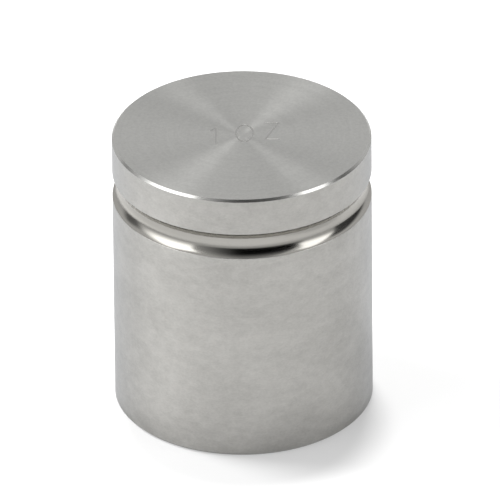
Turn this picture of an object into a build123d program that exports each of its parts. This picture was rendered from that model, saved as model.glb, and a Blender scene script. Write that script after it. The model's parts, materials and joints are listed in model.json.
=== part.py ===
"""One-ounce calibration weight, turned in one piece from round stainless steel bar.

Units are millimetres. The origin is the centre of the face that the weight rests on, and +Z is the
turning axis, pointing up towards the head.
"""

from build123d import *
import math
import os

# Driving dimensions.
INCH = 25.4
bar_diameter = 5 / 8 * INCH  # stock size, left as it is on the head and the body
overall_height = 18.11  # faced to length: this brings the weight to its nominal mass
head_height = 2.40  # top face to the groove, with both edges of the head
top_chamfer = 0.14
base_chamfer = 0.15
edge_break = 0.02  # burr taken off each side of the groove's mouth
groove_tool_radius = 1.00  # full-radius tool, 2 mm wide
groove_depth = 0.47  # how far the tool is fed in below the bar's surface

# What the finished weight has to come to.
nominal_mass = 28.3495  # grams, one ounce avoirdupois
steel_density = 7.97e-3  # grams per cubic millimetre

bar_radius = bar_diameter / 2
neck_radius = bar_radius - groove_depth
tool_centre_radius = neck_radius + groove_tool_radius

# The tool's circle is wider than the mouth it leaves at the depth of the edge breaks.
mouth_radius = bar_radius - edge_break
mouth_half_width = math.sqrt(groove_tool_radius**2 - (tool_centre_radius - mouth_radius) ** 2)

# Heights of the features above the resting face.
head_underside = overall_height - head_height
groove_top = head_underside - edge_break
groove_middle = groove_top - mouth_half_width
groove_bottom = groove_middle - mouth_half_width
body_top = groove_bottom - edge_break


def half_profile():
    """Half of the section through the axis, drawn in the XZ plane from the base up to the top face."""
    with BuildSketch(Plane.XZ) as section:
        with BuildLine():
            Polyline(
                (0, 0),
                (bar_radius - base_chamfer, 0),
                (bar_radius, base_chamfer),
                (bar_radius, body_top),
                (mouth_radius, groove_bottom),
            )
            ThreePointArc(
                (mouth_radius, groove_bottom),
                (neck_radius, groove_middle),
                (mouth_radius, groove_top),
            )
            Polyline(
                (mouth_radius, groove_top),
                (bar_radius, head_underside),
                (bar_radius, overall_height - top_chamfer),
                (bar_radius - top_chamfer, overall_height),
                (0, overall_height),
                (0, 0),
            )
        make_face()
    return section.sketch


def turned_weight():
    """The section swept once round the turning axis."""
    solid = revolve(half_profile(), axis=Axis.Z)
    solid.label = "weight"
    return solid


weight = turned_weight()
mass = weight.volume * steel_density
print(f"height {overall_height:.2f}, diameter {bar_diameter:.3f}, neck diameter {2 * neck_radius:.3f} mm")
print(f"groove mouth {head_underside - body_top:.3f} mm, body {body_top:.3f} mm high")
print(f"mass {mass:.3f} g, nominal {nominal_mass:.3f} g")

os.makedirs("parts", exist_ok=True)
export_step(weight, "parts/weight.step")
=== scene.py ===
# %% [markdown]
# # A one-ounce calibration weight in Blender
#
# The real object is one piece of stainless steel bar, turned on a lathe: a disc head, a narrow neck
# groove that a lifting fork enters, and a plain body. Its charm is all in how the metal was finished.
# The top face was faced from the rim to the centre, the rim and the groove were cut bright, and the
# outside is a fine satin.
#
# We load the engineering model as a fixed frame, light it like a small product on a white table, turn
# one mesh round the same outline, cut its denomination into the top, and give each turned surface the
# finish that its tool left on it, with painted shade in the colour of the groove and of the strokes.

# %% Load the frame
import json
import math

import bmesh
import bpy
import numpy as np
from mathutils import Matrix, Vector

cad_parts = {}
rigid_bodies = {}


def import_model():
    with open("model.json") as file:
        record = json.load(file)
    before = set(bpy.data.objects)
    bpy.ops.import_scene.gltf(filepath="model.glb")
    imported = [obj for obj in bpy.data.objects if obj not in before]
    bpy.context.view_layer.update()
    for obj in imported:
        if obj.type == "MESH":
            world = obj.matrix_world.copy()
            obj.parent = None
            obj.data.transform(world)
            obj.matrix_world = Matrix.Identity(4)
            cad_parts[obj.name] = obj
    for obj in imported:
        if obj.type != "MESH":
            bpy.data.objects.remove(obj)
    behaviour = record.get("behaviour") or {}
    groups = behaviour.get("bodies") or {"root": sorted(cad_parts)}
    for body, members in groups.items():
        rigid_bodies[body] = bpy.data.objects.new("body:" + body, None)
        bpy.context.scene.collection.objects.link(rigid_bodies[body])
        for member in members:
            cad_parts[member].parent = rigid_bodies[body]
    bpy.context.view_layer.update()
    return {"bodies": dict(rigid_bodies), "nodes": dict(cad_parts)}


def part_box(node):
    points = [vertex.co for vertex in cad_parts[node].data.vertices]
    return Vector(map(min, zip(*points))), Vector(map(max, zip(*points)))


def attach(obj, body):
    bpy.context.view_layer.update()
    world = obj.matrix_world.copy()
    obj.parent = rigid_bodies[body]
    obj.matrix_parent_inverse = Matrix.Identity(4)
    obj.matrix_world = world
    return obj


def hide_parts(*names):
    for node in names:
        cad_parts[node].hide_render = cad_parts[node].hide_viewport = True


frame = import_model()

MM = 0.001  # every size below is written in millimetres and scaled by this
body_name = next(iter(frame["bodies"]))
node_name = next(iter(frame["nodes"]))
low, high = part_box(node_name)
bar_radius = min(-low.x, high.x, -low.y, high.y)
overall_height = high.z
print(f"frame: node {node_name} on body {body_name}")
print(f"bar radius {bar_radius / MM:.3f} mm, height {overall_height / MM:.3f} mm")

# %% [markdown]
# ## The camera
#
# A small product is best seen from well back through a long lens, so its sides look parallel. We could
# use an orthographic camera, but a real lens always leaves a trace of perspective, so a very long
# perspective lens about a metre away is closer to the truth. The camera is placed from the angle that
# it looks down at, the scale that it gives the weight, and where the weight's middle falls in the
# square picture. Its axes are worked out directly, because it is also rolled by half a degree.

# %% Place the camera
PICTURE_SIDE = 500  # pixels, square
SENSOR_WIDTH = 36.0
camera_elevation = math.radians(30.644)
camera_roll = math.radians(0.532)
camera_distance = 952.5 * MM
pixels_per_radius = 129.40
middle_in_picture = (242.80, 262.46)  # pixels from the left and from the top


def place_camera():
    """The camera that looks down along +Y at the middle of the weight's axis."""
    forward = Vector((0, math.cos(camera_elevation), -math.sin(camera_elevation)))
    level_right = Vector((1, 0, 0))
    level_up = level_right.cross(forward)
    turn = Matrix.Rotation(camera_roll, 3, forward)
    right, up = turn @ level_right, turn @ level_up

    metres_per_pixel = bar_radius / pixels_per_radius
    middle = Vector((0, 0, overall_height / 2))
    aside = (PICTURE_SIDE / 2 - middle_in_picture[0]) * metres_per_pixel
    above = (middle_in_picture[1] - PICTURE_SIDE / 2) * metres_per_pixel
    place = middle + right * aside + up * above - forward * camera_distance

    camera = bpy.data.objects.new("camera", bpy.data.cameras.new("camera"))
    bpy.context.scene.collection.objects.link(camera)
    axes = Matrix((right, up, -forward)).transposed()
    camera.matrix_world = Matrix.Translation(place) @ axes.to_4x4()
    picture_width = PICTURE_SIDE * metres_per_pixel
    camera.data.sensor_width = SENSOR_WIDTH
    camera.data.lens = SENSOR_WIDTH * camera_distance / picture_width
    camera.data.clip_start = 0.01
    camera.data.clip_end = 20.0
    return camera


camera = place_camera()
bpy.context.scene.camera = camera
print(f"lens {camera.data.lens:.0f} mm, {camera_distance:.2f} m away")

# %% [markdown]
# ## Shader maths that reads like maths
#
# A shader tree is a sheet of arithmetic, and it is hard to read as a list of nodes and links. We could
# wire every Math node by hand. Instead one small class stands for a socket that carries a number, and
# adding or multiplying two of them adds the Math node and its links. A second class holds a tree, and
# one method of it makes every other kind of node: its type, then its settings, then what goes into its
# sockets.

# %% A socket that can be added, multiplied and subtracted
def feed(tree, entry, value):
    """Gives a socket a link if the value comes from a node, and a plain value otherwise."""
    if isinstance(value, Wire):
        tree.links.new(value.socket, entry)
    else:
        entry.default_value = value


class Wire:
    """An output socket. Arithmetic on it adds one Math node for each operation."""

    def __init__(self, tree, socket):
        self.tree = tree
        self.socket = socket

    def maths(self, operation, first, second):
        node = self.tree.nodes.new("ShaderNodeMath")
        node.operation = operation
        feed(self.tree, node.inputs[0], first)
        feed(self.tree, node.inputs[1], second)
        return Wire(self.tree, node.outputs[0])

    def __add__(self, other):
        return self.maths("ADD", self, other)

    def __radd__(self, other):
        return self.maths("ADD", other, self)

    def __sub__(self, other):
        return self.maths("SUBTRACT", self, other)

    def __rsub__(self, other):
        return self.maths("SUBTRACT", other, self)

    def __mul__(self, other):
        return self.maths("MULTIPLY", self, other)

    def __rmul__(self, other):
        return self.maths("MULTIPLY", other, self)


# %% A tree with one method for every node
class Tree:
    """A node tree and the short ways of adding to it."""

    def __init__(self, tree):
        self.tree = tree
        self.tree.nodes.clear()

    def add(self, kind, settings=None, sockets=None, output=0):
        """One node: its type, its settings, what its sockets get, and which output is handed back."""
        node = self.tree.nodes.new("ShaderNode" + kind)
        for name, value in (settings or {}).items():
            setattr(node, name, value)
        for name, value in (sockets or {}).items():
            feed(self.tree, node.inputs[name], value)
        return Wire(self.tree, node.outputs[output]) if node.outputs else None

    def maths(self, operation, first, second=None):
        """A Math node that has no sign of its own, such as an angle."""
        sockets = {0: first} if second is None else {0: first, 1: second}
        return self.add("Math", {"operation": operation}, sockets)

    def vector(self, operation, first, second=None, output=0):
        """One Vector Math node."""
        sockets = {0: first} if second is None else {0: first, 1: second}
        return self.add("VectorMath", {"operation": operation}, sockets, output)

    def apart(self, vector):
        """The three numbers of a vector."""
        return [self.add("SeparateXYZ", None, {0: vector}, axis) for axis in "XYZ"]

    def together(self, x, y, z):
        """A vector made of three numbers."""
        return self.add("CombineXYZ", None, {"X": x, "Y": y, "Z": z})

    def step(self, value, start, end):
        """0 below start and 1 above end, with a soft change between them."""
        settings = {"interpolation_type": "SMOOTHSTEP"}
        return self.add("MapRange", settings, {0: value, 1: start, 2: end, 3: 0.0, 4: 1.0})

    def window(self, value, start, end, soft_start, soft_end):
        """1 between start and end and 0 outside them, each with a softness of its own."""
        rise = self.step(value, start - soft_start, start + soft_start)
        fall = self.step(value, end - soft_end, end + soft_end)
        return rise * (1 - fall)

    def noise(self, vector, scale, detail=2.0):
        """Cloudy noise between 0 and 1, centred on a half."""
        return self.add("TexNoise", None, {"Vector": vector, "Scale": scale, "Detail": detail})

    def colours(self, amount, first, second):
        """Goes from the first colour to the second as amount goes from 0 to 1."""
        settings = {"data_type": "RGBA", "clamp_factor": True}
        return self.add("Mix", settings, {0: amount, 6: first, 7: second}, 2)


# %% [markdown]
# ## The table
#
# The weight stands on a table of white translucent sheet, lit from above and a little from below, that
# runs on without an edge in view. A plane would do, but its corners show when the camera goes round, so
# we use a wide disc. It is a stage: it isn't part of the object.
#
# The table has to do two jobs at once. The lens should see it burnt out to white, with a soft pale
# shadow, and the metal should mirror it as a light grey. So a ray that comes straight from the lens
# finds it brighter than any other ray does, by one factor for its own light and for the lamps'.

# %% Make the table
FLOOR_RADIUS = 1.2
FLOOR_SIDES = 96
FLOOR_GAP = 0.005 * MM  # keeps the table and the base from lying in one plane
FLOOR_WHITE = (0.32, 0.32, 0.32, 1)
FLOOR_SHADE = (0.31, 0.31, 0.31, 1)
CLOUDS_PER_METRE = 30.0
MATT_ROUGHNESS = 0.5
EXPOSURE = 1.55  # how much brighter the lens sees the table than the metal does
GLOW = 3.2  # the light from below, over the table's own colour
GLOW_SHARE = 0.25


def floor_finish():
    """Translucent white with the faintest clouding, brighter for the lens than for the metal."""
    material = bpy.data.materials.new("white_table")
    material.use_nodes = True
    tree = Tree(material.node_tree)
    place = tree.add("TexCoord", output="Object")
    colour = tree.colours(tree.noise(place, CLOUDS_PER_METRE), FLOOR_WHITE, FLOOR_SHADE)
    exposure = 1 + tree.add("LightPath", output="Is Camera Ray") * (EXPOSURE - 1)
    shown = tree.vector("MULTIPLY", colour, tree.together(exposure, exposure, exposure))
    matt = tree.add("BsdfDiffuse", None, {"Color": shown, "Roughness": MATT_ROUGHNESS})
    glow = tree.add("Emission", None, {"Color": shown, "Strength": GLOW})
    both = tree.add("MixShader", None, {0: GLOW_SHARE, 1: matt, 2: glow})
    tree.add("OutputMaterial", None, {"Surface": both})
    return material


def make_floor():
    """The disc that everything stands on."""
    mesh = bpy.data.meshes.new("table")
    shape = bmesh.new()
    bmesh.ops.create_circle(shape, cap_ends=True, radius=FLOOR_RADIUS, segments=FLOOR_SIDES)
    shape.to_mesh(mesh)
    shape.free()
    mesh.materials.append(floor_finish())
    table = bpy.data.objects.new("table", mesh)
    bpy.context.scene.collection.objects.link(table)
    table.location.z = -FLOOR_GAP
    return table


floor = make_floor()
print(f"table: a disc {2 * FLOOR_RADIUS:.1f} m across")

# %% [markdown]
# ## The studio
#
# Bare metal has no colour of its own to speak of: it shows the room. So the room is most of the work.
# This one is a white tent that is open at the front, for the lens, and that opening is what turns the
# front of the bright rim and of the groove black. A white panel hangs at each side, with a dark gap
# between it and the back of the tent, and a short bright strip crosses the ceiling. The panels lean, so
# their front edges are slanted, and the bright part of the groove ends on a slant as well.
#
# We could build all of it as meshes, but a world that knows the direction it is looked at from costs no
# geometry, and each part of it is a few angles: the azimuth, 0 at the front and 90 at the right, the
# elevation above the table, and the angle over the top, 0 at the front and 180 at the back. An edge is
# a pair of angles: the change starts at the first and has ended at the second.

# %% Hang the tent
TENT_LEVEL = 0.70
HORIZON_LEVEL = 0.60
HORIZON = (-5, 20)

OPENING_LEFT, OPENING_RIGHT = (-70, 0), (52, 56)
OPENING_FOOT, OPENING_TOP = (3, 15), (45, 112)

LEFT_GAP, LEFT_GAP_SOFTNESS, LEFT_GAP_TOP = (-124, -102), 6, (18, 34)
LEFT_GAP_DARKNESS = 0.75
RIGHT_GAP_FRONT, RIGHT_GAP_BACK, RIGHT_GAP_TOP = (86, 90), (126, 140), (34, 44)
RIGHT_GAP_LEAN = 0.7  # degrees of azimuth for each degree of elevation
RIGHT_GAP_DARKNESS = 0.92

LEFT_PANEL_LEVEL = 2.4
LEFT_PANEL_BACK, LEFT_PANEL_FRONT, LEFT_PANEL_LEAN = (-105, -83), (-41.5, -38.5), 0.25
LEFT_PANEL_FOOT, LEFT_PANEL_TOP = (0, 40), (51, 61)
RIGHT_PANEL_LEVEL = 1.8
RIGHT_PANEL_FRONT, RIGHT_PANEL_BACK, RIGHT_PANEL_LEAN = (38.5, 41.5), (84, 92), 0.5
RIGHT_PANEL_FOOT, RIGHT_PANEL_TOP = (10, 32), (52, 60)

CEILING_LEVEL = 1.0
CEILING_STRIP, CEILING_SOFTNESS = (90, 110), 4
CEILING_HALF_WIDTH, CEILING_END_SOFTNESS = 0.20, 0.1  # sideways, as a share of a unit direction


def tent_level(tree, looking):
    """How bright the room is in the direction that a ray looks."""
    x, y, z = tree.apart(looking)
    ahead = 0 - y
    degrees = 180 / math.pi
    azimuth = tree.maths("ARCTAN2", x, ahead) * degrees
    elevation = tree.maths("ARCSINE", z) * degrees
    over = tree.maths("ARCTAN2", z, ahead) * degrees

    wall = HORIZON_LEVEL + tree.step(elevation, *HORIZON) * (TENT_LEVEL - HORIZON_LEVEL)
    opening = tree.step(azimuth, *OPENING_LEFT) * (1 - tree.step(azimuth, *OPENING_RIGHT))
    opening = opening * tree.step(elevation, *OPENING_FOOT) * (1 - tree.step(over, *OPENING_TOP))
    left_gap = tree.window(azimuth, *LEFT_GAP, LEFT_GAP_SOFTNESS, LEFT_GAP_SOFTNESS)
    left_gap = left_gap * (1 - tree.step(elevation, *LEFT_GAP_TOP)) * LEFT_GAP_DARKNESS
    slanted = azimuth + elevation * RIGHT_GAP_LEAN
    right_gap = tree.step(azimuth, *RIGHT_GAP_FRONT) * (1 - tree.step(slanted, *RIGHT_GAP_BACK))
    right_gap = right_gap * (1 - tree.step(elevation, *RIGHT_GAP_TOP)) * RIGHT_GAP_DARKNESS
    wall = wall * (1 - opening) * (1 - left_gap) * (1 - right_gap)

    left_edge = azimuth + elevation * LEFT_PANEL_LEAN
    left = tree.step(azimuth, *LEFT_PANEL_BACK) * (1 - tree.step(left_edge, *LEFT_PANEL_FRONT))
    left = left * tree.step(elevation, *LEFT_PANEL_FOOT) * (1 - tree.step(elevation, *LEFT_PANEL_TOP))
    right_edge = azimuth - elevation * RIGHT_PANEL_LEAN
    right = tree.step(right_edge, *RIGHT_PANEL_FRONT) * (1 - tree.step(azimuth, *RIGHT_PANEL_BACK))
    right = right * tree.step(elevation, *RIGHT_PANEL_FOOT) * (1 - tree.step(elevation, *RIGHT_PANEL_TOP))
    ceiling = tree.window(over, *CEILING_STRIP, CEILING_SOFTNESS, CEILING_SOFTNESS)
    ends = (-CEILING_HALF_WIDTH, CEILING_HALF_WIDTH, CEILING_END_SOFTNESS, CEILING_END_SOFTNESS)
    ceiling = ceiling * tree.window(x, *ends) * CEILING_LEVEL
    return wall + left * LEFT_PANEL_LEVEL + right * RIGHT_PANEL_LEVEL + ceiling


def make_world():
    """The tent for everything that the light meets, and plain white behind the table's edge."""
    world = bpy.data.worlds.new("studio_tent")
    world.use_nodes = True
    tree = Tree(world.node_tree)
    looking = tree.vector("NORMALIZE", tree.add("TexCoord", output="Generated"))
    colour = (1, 1, 1, 1)
    tent = tree.add("Background", None, {"Color": colour, "Strength": tent_level(tree, looking)})
    white = tree.add("Background", None, {"Color": colour, "Strength": 1.0})
    straight = tree.add("LightPath", output="Is Camera Ray")
    both = tree.add("MixShader", None, {0: straight, 1: tent, 2: white})
    tree.add("OutputWorld", None, {"Surface": both})
    return world


bpy.context.scene.world = make_world()
bpy.context.scene.view_settings.view_transform = "Standard"
print(f"tent at {TENT_LEVEL}, panels at {LEFT_PANEL_LEVEL} and {RIGHT_PANEL_LEVEL}")

# %% [markdown]
# The tent alone leaves the weight floating, because light comes to the table from every side. Two round
# lamps settle it. The high one, nearly overhead and just behind, throws the short soft shadow at the
# foot. The low one is close by on the left, so its light falls off across the table and the weight
# shades the right of it, and the body mirrors both as a slow fall in brightness. They light the table
# only: in the top face they would draw rays of their own.

# %% Hang the lamps over the table
# Azimuth and elevation in degrees, distance and size in metres, and the light on the table as a share
# of what a white sky would give.
LAMPS = {
    "high_lamp": (-179, 77, 0.60, 0.090, 1.40),
    "low_lamp": (-110, 43, 0.14, 0.060, 1.30),
}


def direction(azimuth, elevation):
    """Azimuth 0 points at the front and 90 to the right, in degrees."""
    a, e = math.radians(azimuth), math.radians(elevation)
    return Vector((math.sin(a) * math.cos(e), -math.cos(a) * math.cos(e), math.sin(e)))


def make_lamp(name, azimuth, elevation, distance, size, share, lit):
    """A round lamp that faces the weight's foot and lights only what is in the collection."""
    light = bpy.data.lights.new(name, "AREA")
    light.shape = "DISK"
    light.size = size
    light.energy = share * math.pi * math.pi * distance**2 / math.sin(math.radians(elevation))
    lamp = bpy.data.objects.new(name, light)
    bpy.context.scene.collection.objects.link(lamp)
    out = direction(azimuth, elevation)
    facing_in = out.to_track_quat("Z", "Y").to_matrix().to_4x4()
    lamp.matrix_world = Matrix.Translation(out * distance) @ facing_in
    lamp.light_linking.receiver_collection = lit
    return lamp


lit_table = bpy.data.collections.new("lit_by_the_lamps")
lit_table.objects.link(floor)
for name, settings in LAMPS.items():
    lamp = make_lamp(name, *settings, lit_table)
    print(f"{name}: {lamp.data.energy:.2f} W, {lamp.location.length:.2f} m away")

# %% [markdown]
# ## The outline
#
# On the lathe the whole shape comes from one outline. We write its corners from the top centre down to
# the base centre, as radius and height, and keep with each stretch the name of the surface that it
# makes, because each gets its own finish. The groove is part of the circle of the round-nosed tool.

# %% Corners of the outline
head_height = 2.40 * MM
top_chamfer = 0.14 * MM
base_chamfer = 0.15 * MM
edge_break = 0.02 * MM
groove_tool_radius = 1.00 * MM
groove_depth = 0.47 * MM
GROOVE_STEPS = 40

FACE, BRIGHT, GROOVE, SATIN, MARK = range(5)  # the surfaces, in the order of the material slots


def groove_points():
    """The groove from its upper mouth round to its lower mouth, and both edge breaks."""
    centre_r = bar_radius - groove_depth + groove_tool_radius
    mouth_r = bar_radius - edge_break
    half_angle = math.acos((centre_r - mouth_r) / groove_tool_radius)
    half_width = groove_tool_radius * math.sin(half_angle)
    underside = overall_height - head_height
    centre_z = underside - edge_break - half_width
    points = [(bar_radius, underside, GROOVE)]
    for i in range(GROOVE_STEPS + 1):
        angle = half_angle * (1 - 2 * i / GROOVE_STEPS)
        r = centre_r - groove_tool_radius * math.cos(angle)
        surface = GROOVE if i < GROOVE_STEPS else SATIN  # the lower edge was rubbed with the body
        points.append((r, centre_z + groove_tool_radius * math.sin(angle), surface))
    points.append((bar_radius, centre_z - half_width - edge_break, SATIN))
    return points


def outline_corners():
    """Corners from the top centre to the base centre, each with the surface that starts there."""
    return [
        (0, overall_height, FACE),
        (bar_radius - top_chamfer, overall_height, BRIGHT),
        (bar_radius, overall_height - top_chamfer, SATIN),
        *groove_points(),
        (bar_radius, base_chamfer, BRIGHT),
        (bar_radius - base_chamfer, 0, FACE),
        (0, 0, FACE),
    ]


corners = outline_corners()
groove = groove_points()
print(f"{len(corners)} corners, groove from {groove[-1][1] / MM:.2f} to {groove[0][1] / MM:.2f} mm")

# %% [markdown]
# No real edge is perfectly sharp. We could bevel the finished mesh, but it is simpler to round the
# outline itself: each corner is replaced by a small arc, and each point keeps the exact direction that
# the surface faces there. Flat stretches then shade flat, and the arcs catch a thin line of light.

# %% Round the corners
EDGE_RADIUS = 0.025 * MM
ARC_STEPS = 5
SHARP_TURN = math.radians(8)


def facing(start, end):
    """Which way a stretch of the outline faces, as an angle above the horizontal."""
    return math.atan2(end[0] - start[0], start[1] - end[1])


def rounded(points):
    """The outline as (radius, height, facing angle, surface) with an arc at each sharp corner."""
    first = facing(points[0], points[1])
    made = [(points[0][0], points[0][1], first, points[0][2])]
    for before, here, after in zip(points, points[1:], points[2:]):
        come, go = facing(before, here), facing(here, after)
        turn = (go - come + math.pi) % (2 * math.pi) - math.pi
        if abs(turn) < SHARP_TURN:
            made.append((here[0], here[1], come + turn / 2, here[2]))
            continue
        reach = min(math.dist(before[:2], here[:2]), math.dist(here[:2], after[:2])) * 0.45
        radius = min(EDGE_RADIUS, reach / math.tan(abs(turn) / 2))
        side = -math.copysign(1, turn)
        back = radius * math.tan(abs(turn) / 2)
        start_r = here[0] - back * math.sin(come)
        start_z = here[1] + back * math.cos(come)
        centre_r = start_r - side * radius * math.cos(come)
        centre_z = start_z - side * radius * math.sin(come)
        for i in range(ARC_STEPS + 1):
            angle = come + turn * i / ARC_STEPS
            r = centre_r + side * radius * math.cos(angle)
            z = centre_z + side * radius * math.sin(angle)
            made.append((r, z, angle, before[2] if i < ARC_STEPS / 2 else here[2]))
    last = facing(points[-2], points[-1])
    made.append((points[-1][0], points[-1][1], last, points[-1][2]))
    return made


outline = rounded(corners)
print(f"{len(outline)} points on the rounded outline")

# %% [markdown]
# ## The finishes
#
# All five surfaces are the same steel. What differs is how rough the tool left them, in which direction,
# and how evenly, and the groove and the strokes get darker colours as painted shade for their hollows.
# The pattern of each is worked out in millimetres from the piece's own coordinates, so a tool line is as
# wide as a tool line is.
#
# A facing cut leaves fine rings about the centre. Across the rings the surface is rough, and along them
# it is smooth, so each light draws a pair of rays through the centre, like a bow tie. The shader has a
# setting for that. Its direction follows the rings, and a quarter turn puts the rough way across them.

# %% Patterns in millimetres
STEEL_LIGHT = (0.616, 0.614, 0.593, 1)
STEEL_DARK = (0.542, 0.540, 0.521, 1)
# The groove's colours are darker than the face's: painted shade for the recess under the head.
GROOVE_LIGHT_WITH_PAINTED_SHADE = (0.495, 0.482, 0.451, 1)
GROOVE_DARK_WITH_PAINTED_SHADE = (0.395, 0.384, 0.356, 1)
SATIN_LIGHT = (0.608, 0.598, 0.572, 1)
SATIN_DARK = (0.485, 0.477, 0.455, 1)
# The strokes' colours are darker than the face's: painted shade for the inside of the cuts.
MARK_LIGHT_WITH_PAINTED_SHADE = (0.560, 0.554, 0.536, 1)
MARK_DARK_WITH_PAINTED_SHADE = (0.360, 0.356, 0.344, 1)
PLAIN_EDGE = (1.0, 1.0, 1.0, 1)  # what the metal mirrors at a grazing angle
COOL_EDGE = (0.925, 0.950, 1.0, 1)
ACROSS_THE_RINGS = 0.25  # of a full turn

# The scales of the noise below are in clouds or lines to the millimetre. CONTRAST spreads a mean of
# several noises, which keeps close to a half, over the whole range between the two colours.
FACE_CONTRAST = 4.5
SATIN_CONTRAST = 3.8


def in_millimetres(tree):
    """The piece's own coordinates, times a thousand, as a vector and as its three numbers."""
    place = tree.vector("MULTIPLY", tree.add("TexCoord", output="Object"), (1 / MM,) * 3)
    return place, *tree.apart(place)


def steel(name, pattern, anisotropic=0.0, edge=PLAIN_EDGE):
    """A steel finish. The pattern gives the colour, the roughness and the normal that vary over it."""
    material = bpy.data.materials.new(name)
    material.use_nodes = True
    tree = Tree(material.node_tree)
    colour, roughness, normal = pattern(tree)
    sockets = {
        "Base Color": colour,
        "Metallic": 1.0,
        "Roughness": roughness,
        "Normal": normal,
        "Anisotropic": anisotropic,
        "Anisotropic Rotation": ACROSS_THE_RINGS,
        "Specular Tint": edge,
    }
    shader = tree.add("BsdfPrincipled", None, sockets)
    tree.add("OutputMaterial", None, {"Surface": shader})
    return material


def relief(tree, height, depth):
    """The normal of a surface whose height goes from 0 to the depth, in millimetres."""
    sockets = {"Strength": 1.0, "Distance": depth * MM, "Height": height}
    return tree.add("Bump", None, sockets)


# %% The faced ends
def faced(tree):
    """Rings about the centre, coarse ones and fine ones, under the grain of the steel itself."""
    place, x, y, _ = in_millimetres(tree)
    radius = tree.vector("LENGTH", tree.together(x, y, 0.0), output="Value")
    coarse = tree.noise(tree.together(radius * 3.0, x * 0.15, y * 0.15), 1.0, 3.0)
    fine = tree.noise(tree.together(radius * 16.0, x * 0.5, y * 0.5), 1.0, 2.0)
    cloud = tree.noise(place, 0.6, 3.0)
    grain = tree.noise(place, 6.0, 3.0)
    shade = coarse * 0.22 + fine * 0.16 + cloud * 0.14 + grain * 0.48
    contrast = (shade - 0.5) * FACE_CONTRAST + 0.5
    colour = tree.colours(contrast, STEEL_DARK, STEEL_LIGHT)
    roughness = 0.31 + coarse * 0.06 + cloud * 0.05
    return colour, roughness, relief(tree, coarse * 0.6 + fine * 0.4, 0.0015)


faced_finish = steel("faced_steel", faced, anisotropic=0.95)

# %% [markdown]
# The two chamfers were cut with a keen edge and a slow feed, and they show the room almost like a
# mirror. Only fine lines of the tool and a trace of handling break the reflection.

# %% The bright chamfers
def bright(tree):
    """Almost a mirror, with fine lines round the axis."""
    place, x, y, z = in_millimetres(tree)
    lines = tree.noise(tree.together(x * 0.25, y * 0.25, z * 18.0), 1.0, 3.0)
    cloud = tree.noise(place, 1.1, 3.0)
    colour = tree.colours(cloud, STEEL_DARK, STEEL_LIGHT)
    roughness = 0.14 + lines * 0.06 + cloud * 0.04
    return colour, roughness, relief(tree, lines, 0.0012)


bright_finish = steel("bright_steel", bright)

# %% [markdown]
# The groove is a mirror too, and its darker colour is painted shade for the recess under the head; it is
# warmer as well. The tool's whole round nose cuts at once there, and it leaves chatter round the axis. We
# could give it the chamfers' finish, but it would come out too pale beside them.

# %% The groove
def grooved(tree):
    """A mirror with chatter round the axis, its colour darkened as painted shade for the recess."""
    place, x, y, z = in_millimetres(tree)
    lines = tree.noise(tree.together(x * 0.3, y * 0.3, z * 14.0), 1.0, 3.0)
    cloud = tree.noise(place, 0.9, 4.0)
    # the darker groove colours are painted shade for the recess under the head
    colour = tree.colours(cloud * 0.6 + lines * 0.4, GROOVE_DARK_WITH_PAINTED_SHADE, GROOVE_LIGHT_WITH_PAINTED_SHADE)
    roughness = 0.10 + lines * 0.05 + cloud * 0.05
    return colour, roughness, relief(tree, lines * 0.7 + cloud * 0.3, 0.002)


groove_finish_and_painted_shade = steel("grooved_steel_painted_shade", grooved)

# %% [markdown]
# The outside was brought to a satin by rubbing it round the axis with fine abrasive. Across those
# scratches it is rough and along them it is smoother, so what it mirrors is drawn out upright, into
# soft bands from the groove down to the foot. A mottle of slightly brighter and duller patches lies
# over them. At a grazing angle steel loses its warm tint, which the shader's edge colour says.

# %% The satin outside
def satin(tree):
    """Soft mottle at three sizes, drawn out a little along the turning."""
    place, x, y, z = in_millimetres(tree)
    drawn = tree.together(x, y, z * 1.7)
    patches = tree.noise(drawn, 0.30, 2.0)
    mottle = tree.noise(drawn, 1.3, 5.0)
    grain = tree.noise(drawn, 6.0, 3.0)
    shade = patches * 0.30 + mottle * 0.38 + grain * 0.32
    contrast = (shade - 0.5) * SATIN_CONTRAST + 0.5
    colour = tree.colours(contrast, SATIN_DARK, SATIN_LIGHT)
    roughness = 0.36 + patches * 0.06 + mottle * 0.06
    return colour, roughness, relief(tree, mottle * 0.5 + grain * 0.5, 0.030)


satin_finish = steel("satin_steel", satin, anisotropic=0.60, edge=COOL_EDGE)

# %% [markdown]
# The denomination was cut into the finished face. The floor of a stroke is smooth, and it isn't turned,
# so it is the same in every direction. A stroke that lies across the light catches it, and an upright
# one stays a thin dark line. The strokes' colour is darker than the face's: painted shade for the cuts.

# %% The engraved strokes
def engraved(tree):
    """Smooth, slightly uneven metal without rings, its colour darkened as painted shade for the cuts."""
    place, *_ = in_millimetres(tree)
    chatter = tree.noise(place, 9.0, 3.0)
    # the darker stroke colours are painted shade for the cuts
    colour = tree.colours(chatter, MARK_DARK_WITH_PAINTED_SHADE, MARK_LIGHT_WITH_PAINTED_SHADE)
    return colour, 0.16 + chatter * 0.12, relief(tree, chatter, 0.003)


mark_finish_and_painted_shade = steel("engraved_steel_painted_shade", engraved)
finishes = {
    FACE: faced_finish,
    BRIGHT: bright_finish,
    GROOVE: groove_finish_and_painted_shade,
    SATIN: satin_finish,
    MARK: mark_finish_and_painted_shade,
}
print("finishes:", ", ".join(material.name for material in finishes.values()))

# %% [markdown]
# ## The mark on the top
#
# A weight carries its denomination, here one ounce, in plain strokes of one width. We could cut it with
# a Boolean, but a round-bottomed scratch is only a dip in the face, so it is easier to lower the points
# of a fine mesh by how near they are to a stroke. The strokes are lines, and the round letter is an
# ellipse. The letters were cut one by one, so each stands at a height of its own.

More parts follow.
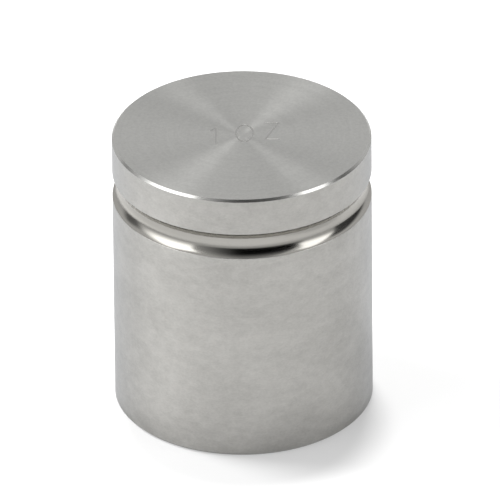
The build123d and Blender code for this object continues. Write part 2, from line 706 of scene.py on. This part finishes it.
# %% Strokes of the mark
STROKE_HALF_WIDTH = 0.070 * MM
STROKE_DEPTH = 0.025 * MM
LETTER_HEIGHT = 2.00 * MM
OVAL_WIDTH = 1.04 * MM
ZED_WIDTH = 0.84 * MM
ONE_AT = (-1.57 * MM, -0.08 * MM)
OVAL_AT = (0.18 * MM, 0.20 * MM)
ZED_AT = (1.86 * MM, 0.45 * MM)
FLAG = (0.28 * MM, 0.34 * MM)  # how far the flag of the figure goes across and down
OVAL_STEPS = 36
NOWHERE_NEAR = 1.0  # farther from a stroke, in metres, than any point can be


def mark_strokes():
    """Start and end of every straight piece of the strokes, in the plane of the face."""
    tall, oval_half, zed_half = LETTER_HEIGHT / 2, OVAL_WIDTH / 2, ZED_WIDTH / 2
    (one_x, one_y), (oval_x, oval_y), (zed_x, zed_y) = ONE_AT, OVAL_AT, ZED_AT
    lines = [
        ((one_x, one_y - tall), (one_x, one_y + tall)),
        ((one_x, one_y + tall), (one_x - FLAG[0], one_y + tall - FLAG[1])),
        ((zed_x - zed_half, zed_y + tall), (zed_x + zed_half, zed_y + tall)),
        ((zed_x + zed_half, zed_y + tall), (zed_x - zed_half, zed_y - tall)),
        ((zed_x - zed_half, zed_y - tall), (zed_x + zed_half, zed_y - tall)),
    ]
    oval = []
    for i in range(OVAL_STEPS + 1):
        angle = 2 * math.pi * i / OVAL_STEPS
        oval.append((oval_x + oval_half * math.cos(angle), oval_y + tall * math.sin(angle)))
    return lines + list(zip(oval, oval[1:]))


strokes = mark_strokes()


def stroke_dip(x, y):
    """How far the strokes lower the face at these points."""
    nearest = np.full(np.shape(x), NOWHERE_NEAR)
    for (x0, y0), (x1, y1) in strokes:
        length_squared = (x1 - x0) ** 2 + (y1 - y0) ** 2
        along = ((x - x0) * (x1 - x0) + (y - y0) * (y1 - y0)) / length_squared
        along = np.clip(along, 0, 1)
        off = np.hypot(x - x0 - along * (x1 - x0), y - y0 - along * (y1 - y0))
        nearest = np.minimum(nearest, off)
    share = np.clip(nearest / STROKE_HALF_WIDTH, 0, 1)
    return STROKE_DEPTH * (1 + np.cos(math.pi * share)) / 2


print(f"{len(strokes)} straight pieces of stroke")

# %% [markdown]
# ## Turning the mesh
#
# The mesh is the outline swept round the axis in fine steps. Blender's Screw modifier or a spin would
# do it too, but then the face would have no points for the strokes to lower. Here the rings lie close
# together in the middle of the face, as far out as the letters reach, and wide apart beyond.

# %% Rings of the face
SEGMENTS = 384
FINE_REACH = 2.95 * MM
FINE_STEP = 0.036 * MM
COARSE_STEP = 0.30 * MM
# The strokes' material also carries their painted shade.
MARKED_DEPTH = STROKE_DEPTH * 0.3  # a face of the mesh that lies lower gets the strokes' finish


def with_face_rings(points):
    """The outline with rings added between the top centre and the rim."""
    centre, rim = points[0], points[1]
    fine = np.arange(FINE_STEP, FINE_REACH, FINE_STEP)
    count = math.ceil((rim[0] - FINE_REACH) / COARSE_STEP)
    coarse = np.linspace(FINE_REACH, rim[0], count + 1)[:-1]
    rings = [(float(r), centre[1], centre[2], FACE) for r in (*fine, *coarse)]
    return [centre, *rings, *points[1:]]


turned = with_face_rings(outline)
print(f"{len(turned)} rings of {SEGMENTS} points")

# %% Sweep the outline
def swept(points):
    """Points, faces, normals and surfaces of the outline swept round Z. Both ends close on one point."""
    angles = np.arange(SEGMENTS) * 2 * math.pi / SEGMENTS
    radii, heights, facings = (np.array([p[k] for p in points[1:-1]]) for k in range(3))
    x = np.outer(radii, np.cos(angles))
    y = np.outer(radii, np.sin(angles))
    z = np.repeat(heights[:, None], SEGMENTS, axis=1)
    nx = np.outer(np.cos(facings), np.cos(angles))
    ny = np.outer(np.cos(facings), np.sin(angles))
    nz = np.repeat(np.sin(facings)[:, None], SEGMENTS, axis=1)

    on_face = heights == overall_height
    nudge = FINE_STEP / 10
    slope_x = (stroke_dip(x + nudge, y) - stroke_dip(x - nudge, y)) / (2 * nudge)
    slope_y = (stroke_dip(x, y + nudge) - stroke_dip(x, y - nudge)) / (2 * nudge)
    nx[on_face] += slope_x[on_face]
    ny[on_face] += slope_y[on_face]
    dip = stroke_dip(x, y)
    z[on_face] -= dip[on_face]

    ring_points = np.stack([x, y, z], axis=-1).reshape(-1, 3)
    ring_normals = np.stack([nx, ny, nz], axis=-1).reshape(-1, 3)
    ring_normals /= np.linalg.norm(ring_normals, axis=1, keepdims=True)
    top_centre, base_centre = (0, 0, points[0][1]), (0, 0, points[-1][1])
    all_points = [*ring_points.tolist(), top_centre, base_centre]
    all_normals = [*ring_normals.tolist(), (0, 0, 1), (0, 0, -1)]

    faces, surfaces = [], []
    rings = len(points) - 2
    for ring in range(rings - 1):
        upper, lower = ring * SEGMENTS, (ring + 1) * SEGMENTS
        for i in range(SEGMENTS):
            j = (i + 1) % SEGMENTS
            faces.append((upper + i, lower + i, lower + j, upper + j))
            cut = on_face[ring + 1] and dip[ring:ring + 2, (i, j)].mean() > MARKED_DEPTH
            surfaces.append(MARK if cut else points[ring + 1][3])
    last = (rings - 1) * SEGMENTS
    top_index, base_index = rings * SEGMENTS, rings * SEGMENTS + 1
    for i in range(SEGMENTS):
        j = (i + 1) % SEGMENTS
        faces.append((top_index, i, j))
        faces.append((base_index, last + j, last + i))
        surfaces += [FACE, FACE]
    return all_points, faces, all_normals, surfaces


# %% Make the piece
def make_weight():
    """The turned weight, with its finishes, in place of the plain solid."""
    points, faces, normals, surfaces = swept(turned)
    mesh = bpy.data.meshes.new("turned_weight")
    mesh.from_pydata(points, [], faces)
    for surface in sorted(finishes):
        mesh.materials.append(finishes[surface])
    mesh.polygons.foreach_set("material_index", surfaces)
    mesh.polygons.foreach_set("use_smooth", [True] * len(faces))
    mesh.normals_split_custom_set_from_vertices(normals)
    mesh.update()
    piece = bpy.data.objects.new("turned_weight", mesh)
    bpy.context.scene.collection.objects.link(piece)
    return piece


weight = make_weight()
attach(weight, body_name)
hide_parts(node_name)
triangles = sum(len(face.vertices) - 2 for face in weight.data.polygons)
print(f"turned weight: {triangles} triangles")
